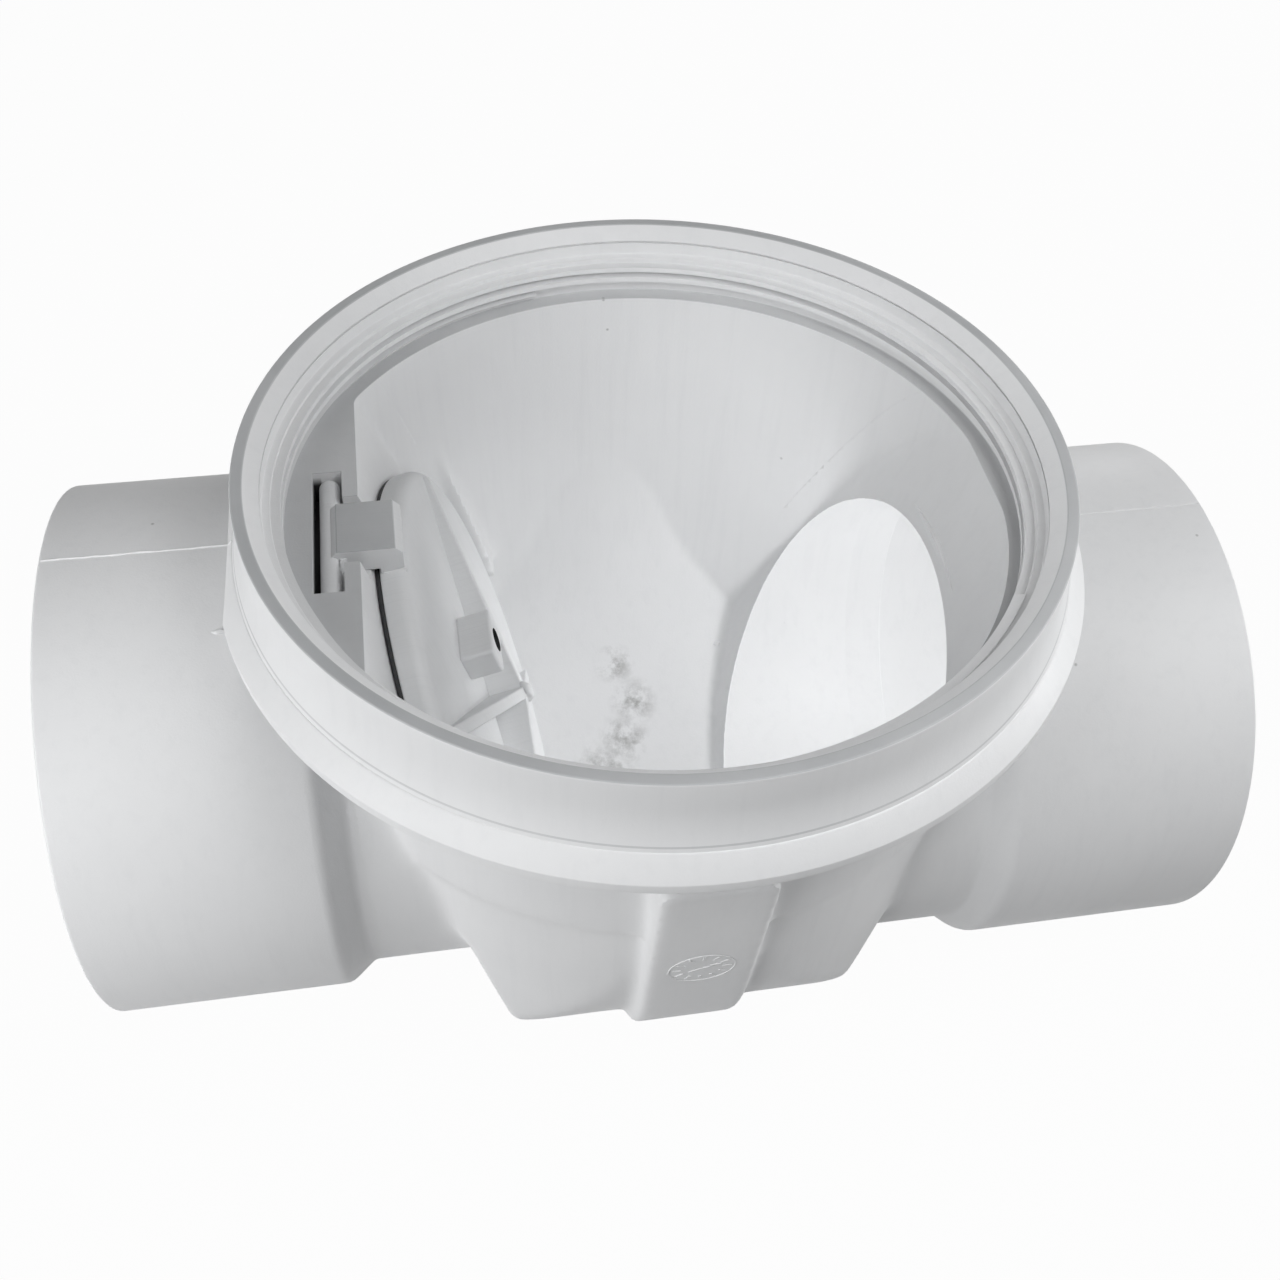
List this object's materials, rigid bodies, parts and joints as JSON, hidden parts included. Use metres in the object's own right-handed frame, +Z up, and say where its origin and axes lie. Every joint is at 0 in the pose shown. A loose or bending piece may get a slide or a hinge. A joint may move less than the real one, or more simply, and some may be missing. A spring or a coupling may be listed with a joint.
{
  "type": "backwater valve",
  "caption": "Drainage backwater valve body with solvent-weld pipe sockets, a threaded access collar on top and a hinged, gasketed flapper that closes against a sloping seat.",
  "frame": {"origin": "middle of the overall box, on the plane the sump and the outlet hub stand on", "axes": "+X along the flow from inlet to outlet, +Z up through the access collar, +Y away from the front plate"},
  "size_m": [0.3864, 0.277, 0.229],
  "materials": {
    "body_pvc": "moulded, slightly satin",
    "flapper_pvc": "cut sheet and bar, satin",
    "gasket_rubber": "plain black sheet"
  },
  "bodies": {
    "valve_body": {"sump_bowl": "body_pvc", "seat_wall": "body_pvc", "outlet_wall": "body_pvc", "inlet_neck": "body_pvc", "inlet_hub": "body_pvc", "outlet_neck": "body_pvc", "outlet_hub": "body_pvc", "flange_ring": "body_pvc", "access_collar": "body_pvc", "hinge_deck": "body_pvc", "front_plate": "body_pvc"},
    "hinge_bar": {"hinge_bar": "flapper_pvc"},
    "flapper": {"flapper_disc": "flapper_pvc", "long_rib": "flapper_pvc", "lower_rib": "flapper_pvc", "upper_rib": "flapper_pvc", "lift_boss": "flapper_pvc", "hinge_arm": "flapper_pvc", "flapper_gasket": "gasket_rubber"}
  },
  "joints": [
    {"name": "hinge_lift", "type": "slide", "parent": "valve_body", "child": "hinge_bar", "axis": [0, 0, 1], "range_m": [0, 0.2]},
    {"name": "flapper_swing", "type": "hinge", "parent": "hinge_bar", "child": "flapper", "pos_m": [-0.10543, 0, 0.2006], "axis": [0, -1, 0], "range_deg": [0, 65]}
  ]
}
